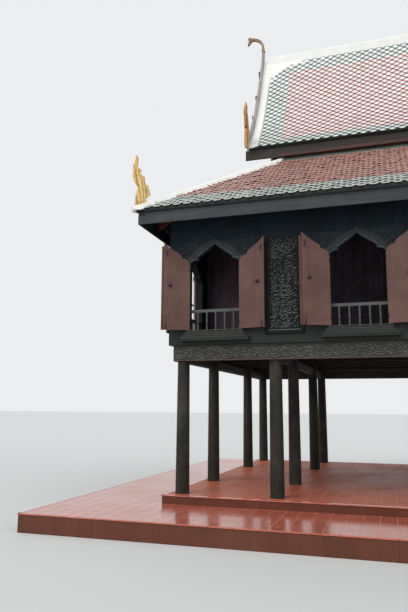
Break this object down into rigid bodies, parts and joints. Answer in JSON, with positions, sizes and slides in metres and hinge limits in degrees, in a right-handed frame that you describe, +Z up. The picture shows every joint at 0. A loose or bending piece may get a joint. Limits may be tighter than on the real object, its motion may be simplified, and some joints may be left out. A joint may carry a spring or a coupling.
{
  "type": "stilt house",
  "caption": "Timber house on round posts over a stepped plinth, with carved walls, arched shuttered windows, a hipped skirt roof and a steep tiled upper roof with finials.",
  "frame": {"origin": "centre of the plan on the ground, at the underside of the plinth", "axes": "+X along the long front to the right, +Y from the front to the back, +Z up"},
  "size_m": [14.05, 11.42, 12.0148],
  "materials": {
    "terracotta": "satin",
    "post_timber": "satin",
    "dark_timber": "satin",
    "floor_timber": "satin",
    "carved_timber": "satin",
    "wall_timber": "satin",
    "shutter_paint": "matte",
    "rafter_timber": "matte",
    "lower_tiles": "satin",
    "upper_tiles": "gloss",
    "stucco": "matte",
    "mortar": "matte",
    "barge_timber": "matte",
    "gilding": "satin"
  },
  "bodies": {
    "root": {"lower_plinth": "terracotta", "upper_plinth": "terracotta", "outer_posts": "post_timber", "inner_posts": "post_timber", "cross_beams": "dark_timber", "floor_joists": "dark_timber", "floor_boards": "floor_timber", "long_sill_beams": "carved_timber", "end_sill_beams": "carved_timber", "front_wall": "wall_timber", "back_wall": "wall_timber", "left_wall": "wall_timber", "right_wall": "wall_timber", "inner_walls": "rafter_timber", "window_frames": "carved_timber", "window_sills": "carved_timber", "window_balustrades": "carved_timber", "left_shutters": "shutter_paint", "right_shutters": "shutter_paint", "carved_panels": "carved_timber", "wall_plates": "dark_timber", "lower_rafters": "rafter_timber", "hip_rafters": "rafter_timber", "lower_roof_front": "lower_tiles", "lower_roof_back": "lower_tiles", "lower_roof_left": "lower_tiles", "lower_roof_right": "lower_tiles", "lower_fascias": "dark_timber", "hip_ridges": "stucco", "roof_flashing": "mortar", "upper_side_walls": "rafter_timber", "gable_walls": "rafter_timber", "upper_plates": "dark_timber", "tie_beams": "dark_timber", "king_posts": "dark_timber", "principal_rafters": "dark_timber", "purlins": "dark_timber", "ridge_beam": "dark_timber", "upper_roof_front": "upper_tiles", "upper_roof_back": "upper_tiles", "upper_fascias": "dark_timber", "verge_caps": "stucco", "ridge_cap": "stucco", "bargeboards": "barge_timber", "hip_finials": "gilding", "eave_finials": "gilding", "apex_finials": "gilding"}
  },
  "joints": []
}
